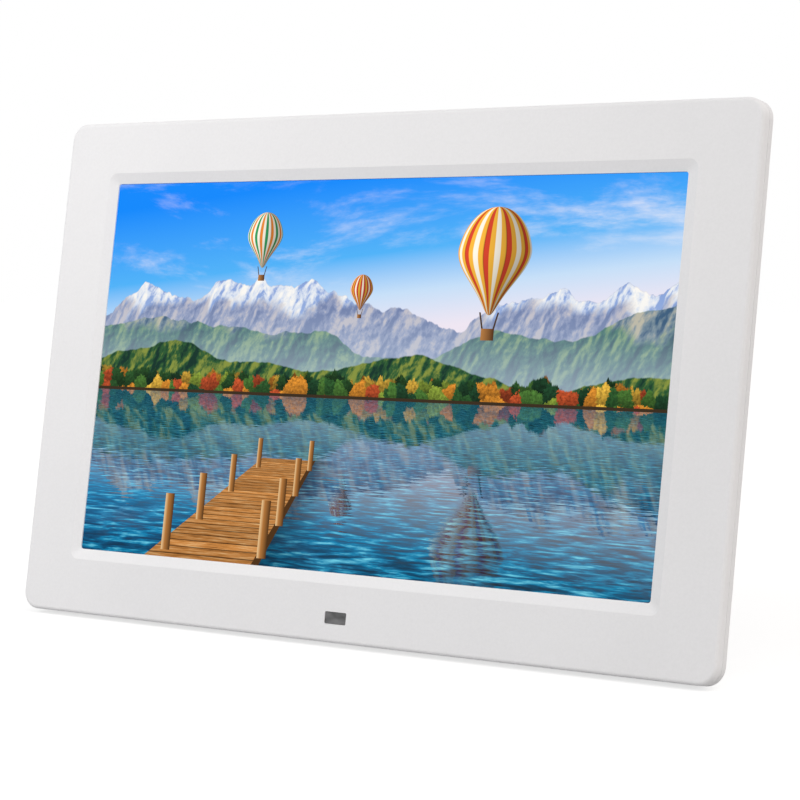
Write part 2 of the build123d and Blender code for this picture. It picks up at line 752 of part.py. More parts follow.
def leg_plan(inset, low, high):
    """Tapered outline of the leg between two heights, moved in from its edges."""
    def half(z):
        share = (hinge_z - z) / leg_length
        return (leg_width + (leg_tip_width - leg_width) * max(0.0, share)) / 2 - inset
    points = [(-half(low), low), (half(low), low), (half(hinge_z), min(hinge_z, high)),
              (half(hinge_z), high), (-half(hinge_z), high), (-half(hinge_z), min(hinge_z, high))]
    if high <= hinge_z:
        points = [(-half(low), low), (half(low), low), (half(high), high), (-half(high), high)]
    return make_face(Polyline(*[(x, 0, z) for x, z in points], close=True))


def prism(face, y):
    """Upright face pushed through between two depths."""
    return extrude(Pos(0, y[0], 0) * face, amount=y[1] - y[0], dir=(0, 1, 0))


def make_leg():
    """Ribbed leg with its barrel and heel, and the rubber foot on its tip, both folded flat."""
    inner = hinge_y - leg_inner
    outer = hinge_y + leg_outer
    end = leg_tip + foot_height
    leg = prism(leg_plan(0, end, hinge_z + heel), (inner, outer))
    leg = fillet(leg.faces().sort_by(Axis.Y)[-1].edges(), 0.8)
    leg += bar(barrel_radius, (-leg_width / 2, leg_width / 2), hinge_y, hinge_z)
    cells = 4
    first = end + 9
    pitch = (hinge_z - 9 - first) / cells
    for i in range(cells):
        low = first + i * pitch + 0.9
        high = first + (i + 1) * pitch - 0.9
        leg -= prism(leg_plan(2.2, low, high), (inner - 1, outer - leg_skin))
    leg -= bar(pin_radius + running_gap, (-leg_width, leg_width), hinge_y, hinge_z)
    middle = (inner + outer) / 2
    slot = tongue_thickness / 2 + fit
    leg -= block((-tongue_half, tongue_half), (middle - slot, middle + slot),
                 (end - 1, end + tongue_length + 0.5))
    foot = prism(leg_plan(0, leg_tip - 4, end), (inner, outer))
    under = Pos(0, hinge_y, leg_tip - 20) * Box(100, 40, 40)
    foot -= Pos(0, hinge_y, leg_tip) * Rot(X=-(leg_open - lean)) * Pos(0, -hinge_y, -leg_tip) * under
    foot += block((-tongue_half + fit, tongue_half - fit),
                  (middle - tongue_thickness / 2, middle + tongue_thickness / 2),
                  (end - 0.5, end + tongue_length))
    return solid_of(leg), solid_of(foot)


def unfold(shape):
    """Swing the leg out to the angle it stands at."""
    return Pos(0, hinge_y, hinge_z) * Rot(X=leg_open) * Pos(0, -hinge_y, -hinge_z) * shape


def tip_back(shape):
    """Lean the frame back and lift it onto its feet."""
    return Pos(0, 0, case_lift) * Rot(X=-lean) * shape


def make_base_feet():
    """Two thin rubber feet under the cover's lower wall, already level on the table."""
    depth = back_depth - rim_depth
    foot = block((case_width / 2 - 46, case_width / 2 - 28),
                 (rim_depth + 0.48 * depth, rim_depth + 0.95 * depth), (0, base_foot_thickness))
    return group(both_sides(foot))


def build_nodes():
    """Every named piece in the standing frame, before centring."""
    nodes = {"front_bezel": make_front_bezel(), "ir_window": make_ir_window()}
    nodes.update(make_panel())
    nodes["panel_tabs"], nodes["panel_tab_screws"] = make_panel_tabs()
    nodes["ir_board"], nodes["ir_receiver"] = make_infrared()
    nodes["rear_cover"] = make_rear_cover()
    nodes["case_screws"] = make_case_screws()
    nodes["main_board"], nodes["key_board"], nodes["board_screws"] = make_boards()
    nodes.update(make_board_parts())
    nodes["card_socket"] = make_card_socket()
    nodes["usb_socket"], nodes["usb_tongue"] = make_usb_socket()
    nodes["phones_jack"] = make_phones_jack()
    nodes["power_inlet"] = make_power_inlet()
    nodes["slide_switch_body"], nodes["slide_switch_knob"] = make_slide_switch()
    nodes["key_switches"], moving = make_keys()
    nodes.update(moving)
    nodes["speaker_frames"], nodes["speaker_cones"], nodes["speaker_magnets"] = make_speakers()
    nodes.update(make_leads())
    nodes["hinge_pin"], nodes["hinge_clip"] = make_hinge()
    leg, foot = make_leg()
    nodes["stand_leg"] = unfold(leg)
    nodes["stand_foot"] = unfold(foot)
    standing = {name: tip_back(shape) for name, shape in nodes.items()}
    standing["base_feet"] = make_base_feet()
    return standing


nodes = build_nodes()
front_edge = min(nodes[name].bounding_box().min.Y for name in ("front_bezel", "base_feet"))
rear_edge = max(nodes[name].bounding_box().max.Y for name in ("stand_foot", "stand_leg", "rear_cover"))
middle_y = (front_edge + rear_edge) / 2
os.makedirs("parts", exist_ok=True)
for name, shape in nodes.items():
    export_step(Pos(0, -middle_y, 0) * shape, "parts/" + name + ".step")
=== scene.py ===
import functools
import json
import math

import bpy
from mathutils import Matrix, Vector

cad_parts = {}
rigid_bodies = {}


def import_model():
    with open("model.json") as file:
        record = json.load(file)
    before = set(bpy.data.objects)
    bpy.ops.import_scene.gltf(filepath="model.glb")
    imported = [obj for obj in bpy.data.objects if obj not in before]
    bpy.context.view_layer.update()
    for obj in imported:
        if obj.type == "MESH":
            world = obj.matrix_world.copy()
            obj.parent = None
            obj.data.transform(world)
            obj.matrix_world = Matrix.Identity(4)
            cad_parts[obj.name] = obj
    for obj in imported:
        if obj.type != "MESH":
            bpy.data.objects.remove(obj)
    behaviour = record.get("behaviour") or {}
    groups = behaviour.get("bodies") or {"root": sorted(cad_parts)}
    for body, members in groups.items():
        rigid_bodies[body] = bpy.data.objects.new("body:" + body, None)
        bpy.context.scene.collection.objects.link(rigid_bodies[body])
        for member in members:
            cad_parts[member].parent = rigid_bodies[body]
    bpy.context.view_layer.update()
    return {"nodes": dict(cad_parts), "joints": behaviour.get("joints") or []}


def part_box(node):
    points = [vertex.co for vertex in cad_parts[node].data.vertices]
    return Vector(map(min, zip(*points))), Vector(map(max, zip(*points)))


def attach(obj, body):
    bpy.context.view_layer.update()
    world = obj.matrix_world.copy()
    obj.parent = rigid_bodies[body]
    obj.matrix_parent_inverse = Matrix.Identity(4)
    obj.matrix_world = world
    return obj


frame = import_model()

bl_info = {
    "name": "Digital Photo Frame",
    "version": (1, 0, 0),
    "blender": (4, 5, 0),
    "location": "3D View > Sidebar > Photo Frame",
    "description": "Dresses a leaning ten-inch digital photo frame and sets up its studio",
    "category": "Object",
}

MM = 0.001
NODES = frame["nodes"]

# The frame leans back: RISE runs up its face, DEPTH from its face to its back.
RISE = Vector(next(j["axis"] for j in frame["joints"] if j["name"] == "power_slide"))
DEPTH = Vector((0, RISE.z, -RISE.y))
LEAN = math.atan2(RISE.y, RISE.z)
FACING_FRONT = (math.pi / 2 - LEAN, 0, 0)
FACING_BACK = (math.pi / 2 + LEAN, 0, math.pi)

KEY_NAMES = ("menu", "up", "left", "play", "right", "down", "exit")

# Noise keeps to the middle of its range, and a blend of two still more: finishes are spread over these.
NOISE_LOW, NOISE_HIGH = 0.3, 0.7
BLEND_LOW, BLEND_HIGH = 0.36, 0.64

# Edges in the picture fade over its width divided by this.
CRISP = 500.0


def linear(code):
    """Linear colour of an sRGB hex value."""
    parts = [int(code[i:i + 2], 16) / 255 for i in (1, 3, 5)]
    parts = [c / 12.92 if c <= 0.04045 else ((c + 0.055) / 1.055) ** 2.4 for c in parts]
    return (*parts, 1.0)


def dim(colour, share):
    """A linear colour at a share of its strength."""
    return (*(c * share for c in colour[:3]), 1.0)


def reach(node, axis):
    """Lowest and highest place of a node along one direction."""
    along = [v.co.dot(axis) for v in NODES[node].data.vertices]
    return min(along), max(along)


def spot(across, depth, rise):
    """Point of the leaning frame: across it, into it and up it."""
    return Vector((across, 0, 0)) + depth * DEPTH + rise * RISE


def add(tree, kind, feeds=None, stops=None, **settings):
    """Adds one node of a kind, or of KIND.OPERATION.

    Feeds are its values, or the nodes and sockets that lead in, by name or in the order of its sockets.
    Stops are a ramp's places and colours, and settings are the node's other properties.
    """
    kind, _, operation = kind.partition(".")
    made = tree.nodes.new("ShaderNode" + kind)
    if operation:
        made.operation = operation
    for key, value in settings.items():
        setattr(made, key, value)
    if stops:
        ramp = made.color_ramp.elements
        ramp.remove(ramp[1])
        ramp[0].position = stops[0][0]
        for place, _ in stops[1:]:
            ramp.new(place)
        for stop, (_, colour) in zip(ramp, stops):
            stop.color = linear(colour) if isinstance(colour, str) else colour
    feeds = feeds if isinstance(feeds, dict) else dict(enumerate(feeds or ()))
    for key, value in feeds.items():
        socket = next(s for i, s in enumerate(made.inputs) if s.enabled and key in (i, s.name))
        if isinstance(value, bpy.types.Node):
            value = next(s for s in value.outputs if s.enabled)
        if isinstance(value, bpy.types.NodeSocket):
            tree.links.new(value, socket)
        else:
            socket.default_value = value
    return made


def start_material(name):
    """New material with its tree, its shader and its Object coordinates."""
    material = bpy.data.materials.new(name)
    material.use_nodes = True
    tree = material.node_tree
    return material, tree, tree.nodes["Principled BSDF"], add(tree, "TexCoord").outputs["Object"]


def feed(tree, shader, **inputs):
    """Sets the shader's inputs, or links what leads to them."""
    for key, value in inputs.items():
        socket = shader.inputs[key.replace("_", " ")]
        if isinstance(value, bpy.types.Node):
            tree.links.new(next(s for s in value.outputs if s.enabled), socket)
        else:
            socket.default_value = value


def paint(material, *names):
    """Gives CAD nodes a finish through their material slots."""
    for name in names:
        if name not in NODES:
            raise RuntimeError("the frame has no node named " + name)
        slots = NODES[name].data.materials
        slots.clear()
        slots.append(material)


def per(millimetres, stretch=(1, 1, 1)):
    """Mapping scale at which one step of a pattern has this length."""
    return [s / (millimetres * MM) for s in stretch]


def grained(name, tones, nodes, grain, rough, relief, metallic=0.0, ior=1.5, stretch=(1, 1, 1),
            drift=30.0):
    """Paints nodes with a material: relief and gloss follow a grain, tone a slow drift too; in mm."""
    material, tree, shader, place = start_material(name)
    fine = add(tree, "Mapping", {"Vector": place, "Scale": per(grain, stretch)})
    noise = add(tree, "TexNoise", {"Vector": fine, "Scale": 1.0, "Detail": 3.0, "Roughness": 0.6})
    wide = add(tree, "Mapping", {"Vector": place, "Scale": per(drift, stretch)})
    cloud = add(tree, "TexNoise", {"Vector": wide, "Scale": 1.0, "Detail": 4.0, "Roughness": 0.55})
    blend = add(tree, "Math.MULTIPLY", (add(tree, "Math.ADD", (noise, cloud)), 0.5))
    tone = add(tree, "ValToRGB", {"Fac": blend}, stops=[(BLEND_LOW, tones[0]), (BLEND_HIGH, tones[1])])
    gloss = add(tree, "MapRange", (noise, NOISE_LOW, NOISE_HIGH, *rough))
    bump = add(tree, "Bump", {"Height": noise, "Strength": 0.6, "Distance": relief * MM})
    feed(tree, shader, Base_Color=tone, Roughness=gloss, Normal=bump, Metallic=metallic)
    if not metallic:
        feed(tree, shader, IOR=ior)
    paint(material, *nodes)
    return material


def begin():
    """Leaves edit mode and clears the selection, so that a tool acts on one new piece alone."""
    if bpy.context.object and bpy.context.object.mode != "OBJECT":
        bpy.ops.object.mode_set(mode="OBJECT")
    bpy.ops.object.select_all(action="DESELECT")


def thicken(way):
    """Draws the active flat piece out along a way and turns its faces outward, in edit mode."""
    bpy.ops.object.mode_set(mode="EDIT")
    bpy.ops.mesh.select_all(action="SELECT")
    bpy.ops.mesh.extrude_region_move(TRANSFORM_OT_translate={"value": way})
    bpy.ops.mesh.select_all(action="SELECT")
    bpy.ops.mesh.normals_make_consistent(inside=False)


def settle(name, body, material):
    """Names the active piece, puts its place into its mesh, paints it and lets it ride."""
    bpy.ops.object.mode_set(mode="OBJECT")
    bpy.ops.object.transform_apply()
    piece = bpy.context.object
    piece.name = name
    piece.data.name = name
    piece.data.materials.clear()
    piece.data.materials.append(material)
    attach(piece, body)


def tint(name, words, code):
    """Colour that a user can change."""
    return bpy.props.FloatVectorProperty(name=name, description=words, default=linear(code), size=4,
                                         subtype="COLOR", min=0.0, max=1.0)


def length(name, words, millimetres):
    """Length that a user can change, held in metres."""
    return bpy.props.FloatProperty(name=name, description=words, default=millimetres * MM,
                                   unit="LENGTH", min=0.0, precision=5)


def amount(name, words, default, most, unit="NONE"):
    """Amount that a user can change."""
    return bpy.props.FloatProperty(name=name, description=words, default=default, min=0.0, max=most,
                                   unit=unit)


def position(name, words, metres):
    """Point that a user can change."""
    return bpy.props.FloatVectorProperty(name=name, description=words, default=metres,
                                         subtype="TRANSLATION", unit="LENGTH", precision=5)


def heading(name, words, way):
    """Direction that a user can change."""
    return bpy.props.FloatVectorProperty(name=name, description=words, default=way,
                                         subtype="DIRECTION", precision=5)


class PHOTOFRAME_PG_sizes(bpy.types.PropertyGroup):
    """Sizes of the pieces that are added to the frame"""
    film_width: length("Film width", "Width of the display's polarising film", 224.3)
    film_height: length("Film height", "Height of the display's polarising film", 126.9)
    film_thickness: length("Film thickness", "Thickness of the polarising film", 0.2)
    film_gap: length("Film gap", "Air between the film and the glass", 0.01)
    picture_width: length("Picture width", "Lit width of the display", 224.3)
    # Above this height the film stays black: the panel's border, and along the top a painted shade line
    # under the bezel's lip.
    picture_height: length("Picture height", "Lit height of the display, from the film's foot", 126.05)
    mark_thickness: length("Mark thickness", "Height of the printed ink", 0.05)
    mark_stroke: length("Mark stroke", "Width of the lines of a printed mark", 0.4)
    mark_drop: length("Mark drop", "From a key's middle down to its mark", 5.7)
    key_mark_size: length("Key mark size", "Radius of the marks under the keys", 1.24)
    socket_mark_size: length("Socket mark size", "Radius of the marks beside the sockets", 1.44)
    socket_mark_inset: length("Socket mark inset", "From the bay's edge in to the socket marks", 6.2)


class PHOTOFRAME_PG_colours(bpy.types.PropertyGroup):
    """Colours of the finishes that show"""
    case: tint("Case", "White of the case and its leg", "#EDEDEF")
    keys: tint("Keys", "Grey of the key caps", "#C8CACC")
    window: tint("Window", "Grey of the smoked infrared window", "#6C6C6E")
    ink: tint("Ink", "Grey of the printed marks", "#929497")
    sky_high: tint("High sky", "Top of the generic picture's sky", "#0088FC")
    sky_low: tint("Low sky", "Foot of the generic picture's sky", "#EFE6F2")
    water_deep: tint("Deep water", "Dark side of the generic picture's ripples", "#01202F")
    water_light: tint("Light water", "Light side of the generic picture's ripples", "#087FA6")
    deck: tint("Deck", "Planks of the generic picture's jetty", "#D08A45")


class PHOTOFRAME_PG_stage(bpy.types.PropertyGroup):
    """Floor, lights and camera"""
    camera_place: position("Camera place", "Where the camera stands", (0.46545, -0.63653, 0.12287))
    camera_aim: heading("Camera aim", "Direction in which the camera looks",
                        (-0.58854, 0.80628, -0.05938))
    camera_lens: amount("Lens", "Focal length in millimetres", 110.68, 500.0, "CAMERA")
    camera_sensor: amount("Sensor", "Width of the sensor in millimetres", 36.0, 100.0, "CAMERA")
    key_place: position("Key light place", "Where the large soft light hangs", (-0.45, -0.48, 0.45))
    key_aim: position("Key light aim", "Point at which the large soft light is aimed", (0.0, 0.0, 0.09))
    key_power: amount("Key light power", "Power of the large soft light", 1.42, 100.0, "POWER")
    key_size: length("Key light size", "Side of the large soft light", 300.0)
    room_light: amount("Room light", "Strength of the even light at the horizon", 0.90, 5.0)
    ceiling_light: amount("Ceiling light", "Strength of the even light overhead", 1.89, 5.0)
    card_way: heading("Dark card", "Direction of the dark card, on the left and high up",
                      (-0.72, 0.25, 0.65))
    card_light: amount("Card light", "Share of the even light that the dark card leaves", 0.1, 1.0)
    floor_side: length("Floor side", "Side of the square of paper", 8000.0)
    floor_lift: amount("Floor lift", "Light that the white floor adds where it is seen", 0.68, 1.0)


class PHOTOFRAME_OT_case(bpy.types.Operator):
    """Paint the front bezel and the rear cover as moulded plastic"""
    bl_idname = "photoframe.case"
    bl_label = "Case mouldings"

    def execute(self, context):
        # Moulded ABS, satin from a polished and vapour-blasted tool: white, soft gloss, barely a grain.
        # The grain is drawn at 0.9 mm, coarser than the tool's own, so that it still shows.
        white = context.scene.photoframe_colours.case
        grained("ABS satin white front", (dim(white, 0.953), white), ["front_bezel"],
                grain=0.9, rough=(0.44, 0.52), relief=0.006, ior=1.53, drift=60.0)
        # Moulded ABS with a spark-eroded grain: the same white, matter, with a pebbled touch.
        grained("ABS spark-grained white back", (dim(white, 0.925), dim(white, 0.99)), ["rear_cover"],
                grain=1.1, rough=(0.50, 0.62), relief=0.03, ior=1.53, drift=60.0)
        return {"FINISHED"}


class PHOTOFRAME_OT_stand(bpy.types.Operator):
    """Paint the fold-out leg, its hinge and the rubber feet"""
    bl_idname = "photoframe.stand"
    bl_label = "Stand and feet"

    def execute(self, context):
        # Moulded ABS with a spark-eroded grain, as the cover.
        white = context.scene.photoframe_colours.case
        grained("ABS spark-grained white leg", (dim(white, 0.907), dim(white, 0.972)), ["stand_leg"],
                grain=1.1, rough=(0.48, 0.60), relief=0.03, ior=1.53)
        # Moulded EPDM rubber: dull dark grey with a fine dusting and no highlights.
        grained("EPDM rubber moulded grey", ("#26272A", "#333437"), ["stand_foot", "base_feet"],
                grain=0.8, rough=(0.78, 0.92), relief=0.04, ior=1.52, drift=8.0)
        # Ground steel pin and spring-steel clip: bright, with fine lines round the pin.
        grained("Ground steel pin", ("#A9ABAE", "#C6C8CA"), ["hinge_pin"],
                grain=0.25, rough=(0.22, 0.36), relief=0.004, metallic=1.0,
                stretch=(6, 1, 1), drift=10.0)
        grained("Blued spring steel clip", ("#4E5258", "#6A6E75"), ["hinge_clip"],
                grain=0.5, rough=(0.30, 0.42), relief=0.006, metallic=1.0, drift=3.0)
        return {"FINISHED"}


class PHOTOFRAME_OT_keys(bpy.types.Operator):
    """Paint the seven key caps, their plungers and their switches"""
    bl_idname = "photoframe.keys"
    bl_label = "Keys"

    def execute(self, context):
        # Moulded ABS key caps: pale grey, satin, polished a little by fingers.
        grey = context.scene.photoframe_colours.keys
        grained("ABS satin grey caps", (dim(grey, 0.87), grey), ["key_" + name for name in KEY_NAMES],
                grain=0.7, rough=(0.32, 0.44), relief=0.008, ior=1.53, drift=6.0)
        # Glass-filled nylon: black with pale fibre flecks.
        grained("Glass-filled nylon black", ("#161618", "#26262A"), ["key_switches"],
                grain=0.35, rough=(0.42, 0.60), relief=0.01, ior=1.53, drift=2.0)
        # Acetal plungers: slightly waxy black.
        grained("Acetal waxy black", ("#1C1B1C", "#29282A"), ["plunger_" + name for name in KEY_NAMES],
                grain=0.5, rough=(0.28, 0.38), relief=0.004, ior=1.48, drift=2.0)
        return {"FINISHED"}


class PHOTOFRAME_OT_infrared_eye(bpy.types.Operator):
    """Paint the smoked window and the receiver behind it"""
    bl_idname = "photoframe.infrared_eye"
    bl_label = "Infrared eye"

    def execute(self, context):
        # Smoked polycarbonate, polished: grey and glossy, with a painted lighter cloud standing in for
        # a reflection in its gloss, and painted shade at its rim where its recess shades it.
        grey = context.scene.photoframe_colours.window
        # Painted shade darkens the rim from this share of the half width outward, by this much.
        rim_start, rim_shade = 0.72, 0.12
        smoke, tree, shader, place = start_material("Polycarbonate smoked grey")
        low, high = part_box("ir_window")
        foot, top = reach("ir_window", RISE)
        centre = spot((low.x + high.x) / 2, 0, (foot + top) / 2)
        half = ((high.x - low.x) / 2, (top - foot) / 2, 1.0)
        flat = add(tree, "Mapping", {"Vector": place, "Location": centre, "Rotation": FACING_FRONT,
                                     "Scale": half}, vector_type="TEXTURE")
        cloud = add(tree, "TexNoise", {"Vector": flat, "Scale": 0.95})
        outer = add(tree, "SeparateXYZ", (add(tree, "VectorMath.ABSOLUTE", (flat,)),))
        rim = add(tree, "Math.MAXIMUM", (outer.outputs["X"], outer.outputs["Y"]))
        rim = add(tree, "MapRange", (rim, rim_start, 1.0, 0.0, rim_shade))
        # The tone is the painted lighter cloud less the painted shade at the rim.
        depth = add(tree, "Math.SUBTRACT", (cloud, rim))
        tone = add(tree, "ValToRGB", {"Fac": depth}, stops=[(0.32, dim(grey, 0.25)), (0.64, grey)])
        feed(tree, shader, Base_Color=tone, Roughness=0.14, IOR=1.585)
        paint(smoke, "ir_window")
        # Transfer-moulded epoxy: black, dull, finely pitted.
        grained("Epoxy moulded black", ("#141416", "#202024"), ["ir_receiver"],
                grain=0.25, rough=(0.55, 0.70), relief=0.008, ior=1.55, drift=3.0)
        return {"FINISHED"}


class PHOTOFRAME_OT_display_panel(bpy.types.Operator):
    """Paint the display panel's frame, glass, tray, light guide and lamp strip"""
    bl_idname = "photoframe.display_panel"
    bl_label = "Display panel"

    def execute(self, context):
        # Cold-rolled zinc-plated sheet: grey metal with fine rolling lines along its length.
        grained("Zinc-plated rolled sheet", ("#9FA2A5", "#BFC2C4"), ["lcd_frame", "panel_tabs"],
                grain=0.4, rough=(0.30, 0.46), relief=0.006, metallic=1.0,
                stretch=(0.06, 1, 1), drift=9.0)
        # Float glass over a dark cell: near black and glossy.
        grained("Display glass dark", ("#0A0C10", "#10131A"), ["lcd_glass"],
                grain=20.0, rough=(0.04, 0.07), relief=0.0005, ior=1.52)
        # Pressed polycarbonate tray: white and matt.
        grained("Polycarbonate white tray", ("#DAD9D4", "#E8E7E2"), ["backlight_tray"],
                grain=0.6, rough=(0.50, 0.60), relief=0.01, ior=1.585)
        # Cast acrylic with printed dots: milky, the dots 1.2 mm apart.
        guide, tree, shader, place = start_material("Acrylic dotted guide")
        grid = add(tree, "Mapping", {"Vector": place, "Scale": per(1.2)})
        cells = add(tree, "TexVoronoi", {"Vector": grid, "Scale": 1.0, "Randomness": 0.15})
        dots = add(tree, "ValToRGB", {"Fac": cells}, stops=[(0.24, "#FBFBF8"), (0.30, "#CFDBDD")])
        gloss = add(tree, "MapRange", (cells, 0.2, 0.35, 0.6, 0.12))
        feed(tree, shader, Base_Color=dots, Roughness=gloss, IOR=1.49)
        paint(guide, "light_guide")
        # White solder mask over aluminium: bright, slightly glossy.
        grained("White solder-mask strip", ("#E6E5DC", "#F2F1EA"), ["led_strip"],
                grain=0.5, rough=(0.28, 0.40), relief=0.006, ior=1.55)
        return {"FINISHED"}


def picture_sky(node, x, y, colours):
    """Sky of the generic picture: azure at the upper left, pale over the mountains, with thin cloud."""
    foot, top, slope = 0.29, 0.56, -0.38
    height = node("MapRange", (y, foot, top))
    slant = node("Math.MULTIPLY_ADD", (x, slope, height))
    sky = node("ValToRGB", {"Fac": slant}, stops=[
        (0.0, colours.sky_low), (0.2, "#C6DFF8"), (0.42, "#4FB2F8"), (0.85, colours.sky_high)])
    flat = node("CombineXYZ", (x, y))
    streaks = node("Mapping", {"Vector": flat, "Rotation": (0, 0, -0.16), "Scale": (2.6, 10.0, 1.0)})
    cloud = node("TexNoise", {"Vector": streaks, "Scale": 1.0, "Detail": 10.0, "Roughness": 0.64,
                              "Distortion": 0.35})
    cloud = node("MapRange", (cloud, 0.5, 0.78, 0.0, 0.85), interpolation_type="SMOOTHSTEP")
    return [(1.0, sky), (cloud, linear("#FBF5F7"))]


def picture_mountains(node, x, y):
    """Ranges of the generic picture, far to near: lit from the left, with snow and woods on them."""
    layers = []
    # Foot, swing, hills per width, shift, ribs per width, height above which it is covered, and tones.
    for foot, swing, hills, shift, ribs, line, bare, cover in (
        (0.27, 0.25, 3.1, 3.6, 17.0, 0.375,
         ("#58699C", "#8C95B8", "#C3BCC2"), ("#86A2DA", "#DCE4F2", "#FFFBF4")),
        (0.25, 0.19, 2.1, 11.4, 13.0, 0.345,
         ("#27505C", "#47786F", "#87A67C"), ("#3F5F7E", "#7C909C", "#BDB9A8")),
        (0.24, 0.115, 2.7, 24.2, 16.0, None, ("#12342A", "#2F5C33", "#86923F"), None),
    ):
        along = node("Math.MULTIPLY_ADD", (x, hills, shift))
        ridge = node("TexNoise", {"W": along, "Scale": 1.0, "Detail": 9.0}, noise_dimensions="1D")
        ridge = node("Math.MULTIPLY_ADD", (ridge, swing, foot))
        below = node("Math.SUBTRACT", (ridge, y))
        mask = node("Math.MULTIPLY", (below, CRISP), use_clamp=True)
        # Ribs run down from the ridge, and each is light on its left.
        lean = node("Math.MULTIPLY_ADD", (below, 0.4, x))
        face = node("CombineXYZ", (lean, node("Math.MULTIPLY", (below, 0.6)), shift))
        here = node("TexNoise", {"Vector": face, "Scale": ribs, "Detail": 9.0, "Roughness": 0.6})
        aside = node("VectorMath.ADD", (face, (0.006, 0.002, 0)))
        there = node("TexNoise", {"Vector": aside, "Scale": ribs, "Detail": 9.0, "Roughness": 0.6})
        light = node("MapRange", (node("Math.SUBTRACT", (there, here)), -0.07, 0.07))
        layers.append((mask, node("ValToRGB", {"Fac": light}, stops=list(zip((0.1, 0.5, 0.9), bare)))))
        if cover:
            drift = node("Math.MULTIPLY_ADD", (here, 0.16, -0.08))
            drift = node("Math.SUBTRACT", (node("Math.ADD", (y, drift)), line))
            drift = node("Math.MULTIPLY", (drift, 60.0), use_clamp=True)
            drift = node("Math.MULTIPLY", (drift, mask))
            coat = node("ValToRGB", {"Fac": light}, stops=list(zip((0.1, 0.45, 0.85), cover)))
            layers.append((drift, coat))
            # Haze gathers at the foot of the range.
            haze = node("MapRange", (y, foot + 0.02, foot + 0.6 * swing, 0.5, 0.0))
            layers.append((node("Math.MULTIPLY", (haze, mask)), linear("#C3D3E6")))
    return layers


def picture_trees(node, x, y, shore):
    """Trees along the far shore of the generic picture: crowns of leaves in autumn colours."""
    # Crowns across and up one picture width, and the height of the row in widths.
    crowns, row = (58.0, 42.0, 1.0), 0.062
    flat = node("CombineXYZ", (x, y))
    leaf = node("TexNoise", {"Vector": flat, "Scale": 230.0, "Detail": 3.0, "Roughness": 0.7})
    stir = node("VectorMath.SCALE", {0: leaf.outputs["Color"], "Scale": 0.016})
    stir = node("VectorMath.ADD", (flat, stir))
    cells = node("VectorMath.MULTIPLY", (stir, crowns))
    crown = node("TexVoronoi", {"Vector": cells, "Scale": 1.0}, voronoi_dimensions="2D")
    chance = node("SeparateColor", (crown.outputs["Color"],))
    tone = node("ValToRGB", {"Fac": chance}, stops=list(zip((0.0, 0.2, 0.36, 0.52, 0.64, 0.76, 0.88), (
        "#2E5B2C", "#E0912F", "#4D7B34", "#F0BE45", "#1F4A2C", "#C8552C", "#8FA63C"))))
    tone.color_ramp.interpolation = "CONSTANT"
    rank = node("SeparateXYZ", (cells,)).outputs["Y"]
    middle = node("SeparateXYZ", (crown.outputs["Position"],)).outputs["Y"]
    light = node("MapRange", (node("Math.SUBTRACT", (rank, middle)), -0.55, 0.45, 0.3, 1.0))
    spark = node("MapRange", (leaf, 0.35, 0.65, 0.5, 1.25))
    light = node("Math.MULTIPLY", (light, spark))
    tops = node("TexNoise", {"W": node("Math.MULTIPLY", (x, 17.0)), "Scale": 1.0, "Detail": 8.0,
                             "Roughness": 0.72}, noise_dimensions="1D")
    tops = node("Math.MULTIPLY_ADD", (tops, row, shore - 0.002))
    mask = node("Math.MULTIPLY", (node("Math.SUBTRACT", (tops, y)), CRISP), use_clamp=True)
    return [(mask, node("VectorMath.SCALE", {0: tone, "Scale": light}))]


def picture_balloon(node, x, y, middle, radius, cloth):
    """One striped balloon of the generic picture: its envelope, its ropes and its basket."""
    crisp = 900.0 * radius
    # Middle and half height of the ropes and of the basket, and its half width, in radii.
    rope, rope_half = -1.33, 0.19
    basket, basket_half, basket_side = -1.63, 0.13, 0.17
    first, second, third = cloth
    across = node("Math.DIVIDE", (node("Math.SUBTRACT", (x, middle[0])), radius))
    upward = node("Math.DIVIDE", (node("Math.SUBTRACT", (y, middle[1])), radius))
    taper = node("MapRange", (upward, -1.25, 0.3, 0.3, 1.0), interpolation_type="SMOOTHSTEP")
    girth = node("Math.MULTIPLY_ADD", (node("Math.MULTIPLY", (upward, upward)), -0.69, 1.0))
    girth = node("Math.SQRT", (node("Math.MAXIMUM", (girth, 0.0)),))
    girth = node("Math.MAXIMUM", (node("Math.MULTIPLY", (girth, taper)), 1e-6))
    turn = node("Math.DIVIDE", (across, girth))
    gap = node("Math.SUBTRACT", (1.0, node("Math.ABSOLUTE", (turn,))))
    inside = node("Math.MULTIPLY", (gap, crisp), use_clamp=True)
    gores = node("Math.MULTIPLY_ADD", (node("Math.ARCSINE", (turn,)), 1.59, 0.5))
    gores = node("Math.FRACT", (gores,))
    stripes = node("ValToRGB", {"Fac": gores}, stops=[
        (0.0, dim(linear(first), 0.5)), (0.05, first), (0.24, first), (0.26, second), (0.48, second),
        (0.5, third), (0.74, third), (0.76, second), (0.95, second), (1.0, dim(linear(second), 0.5))])
    light = node("MapRange", (turn, -0.7, 1.0, 1.1, 0.42), interpolation_type="SMOOTHSTEP")
    lower = node("MapRange", (upward, -1.3, 0.2, 0.55, 1.0))
    light = node("Math.MULTIPLY", (light, lower))
    layers = [(inside, node("VectorMath.SCALE", {0: stripes, "Scale": light}))]
    # Two ropes run from the mouth to the basket.
    spread = node("MapRange", (upward, -1.5, -1.15, 0.15, 0.24))
    ropes = node("Math.COMPARE", (node("Math.ABSOLUTE", (across,)), spread, 0.022))
    hang = node("Math.COMPARE", (upward, rope, rope_half))
    layers.append((node("Math.MULTIPLY", (ropes, hang)), linear("#4A3524")))
    deep = node("Math.COMPARE", (upward, basket, basket_half))
    wide = node("Math.COMPARE", (across, 0.0, basket_side))
    wicker = node("MapRange", (across, -basket_side, basket_side))
    wicker = node("ValToRGB", {"Fac": wicker}, stops=[(0.0, "#B67C43"), (1.0, "#4A2A13")])
    layers.append((node("Math.MULTIPLY", (deep, wide)), wicker))
    return layers


